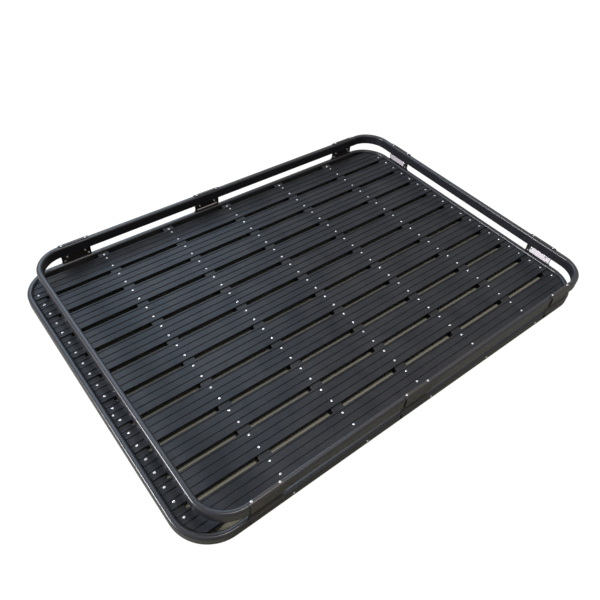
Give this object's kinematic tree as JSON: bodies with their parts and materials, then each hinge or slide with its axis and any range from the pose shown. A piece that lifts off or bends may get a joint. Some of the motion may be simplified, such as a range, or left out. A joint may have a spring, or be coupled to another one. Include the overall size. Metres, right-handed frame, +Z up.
{
  "type": "roof basket",
  "caption": "Flat roof basket for a large vehicle: ribbed slats riveted to crossbars inside a rounded tube frame, with a low guard rail held by plate clamps.",
  "frame": {"origin": "centre of the bounding box at the bottom of the base frame", "axes": "+X to the rear of the vehicle along the slats, +Y to its right side, +Z up"},
  "size_m": [1.8142, 1.2884, 0.1252],
  "materials": {
    "tube": "satin black powder coat on bent aluminium tube",
    "clamps": "satin black powder coat on formed aluminium plate",
    "bars": "fine textured black powder coat on extruded aluminium",
    "deck": "satin black powder coat on extruded ribbed slats",
    "fasteners": "bare dome rivets and button head screws"
  },
  "bodies": {
    "root": {"base_front_hoop": "tube", "base_left_front": "tube", "base_left_rear": "tube", "base_right_front": "tube", "base_right_rear": "tube", "base_corner_left": "tube", "base_corner_right": "tube", "base_rear": "tube", "rail_front_hoop": "tube", "rail_left_front": "tube", "rail_left_rear": "tube", "rail_right_front": "tube", "rail_right_rear": "tube", "rail_corner_left": "tube", "rail_corner_right": "tube", "rail_rear": "tube", "clamp_left_front": "clamps", "clamp_left_mid": "clamps", "clamp_left_rear": "clamps", "clamp_right_front": "clamps", "clamp_right_mid": "clamps", "clamp_right_rear": "clamps", "clamp_rear_left": "clamps", "clamp_rear_right": "clamps", "end_bar_front": "bars", "end_bar_rear": "bars", "crossbar_1": "bars", "crossbar_2": "bars", "crossbar_3": "bars", "crossbar_4": "bars", "crossbar_5": "bars", "slat_01": "deck", "slat_02": "deck", "slat_03": "deck", "slat_04": "deck", "slat_05": "deck", "slat_06": "deck", "slat_07": "deck", "slat_08": "deck", "slat_09": "deck", "slat_10": "deck", "slat_11": "deck"}
  },
  "joints": []
}
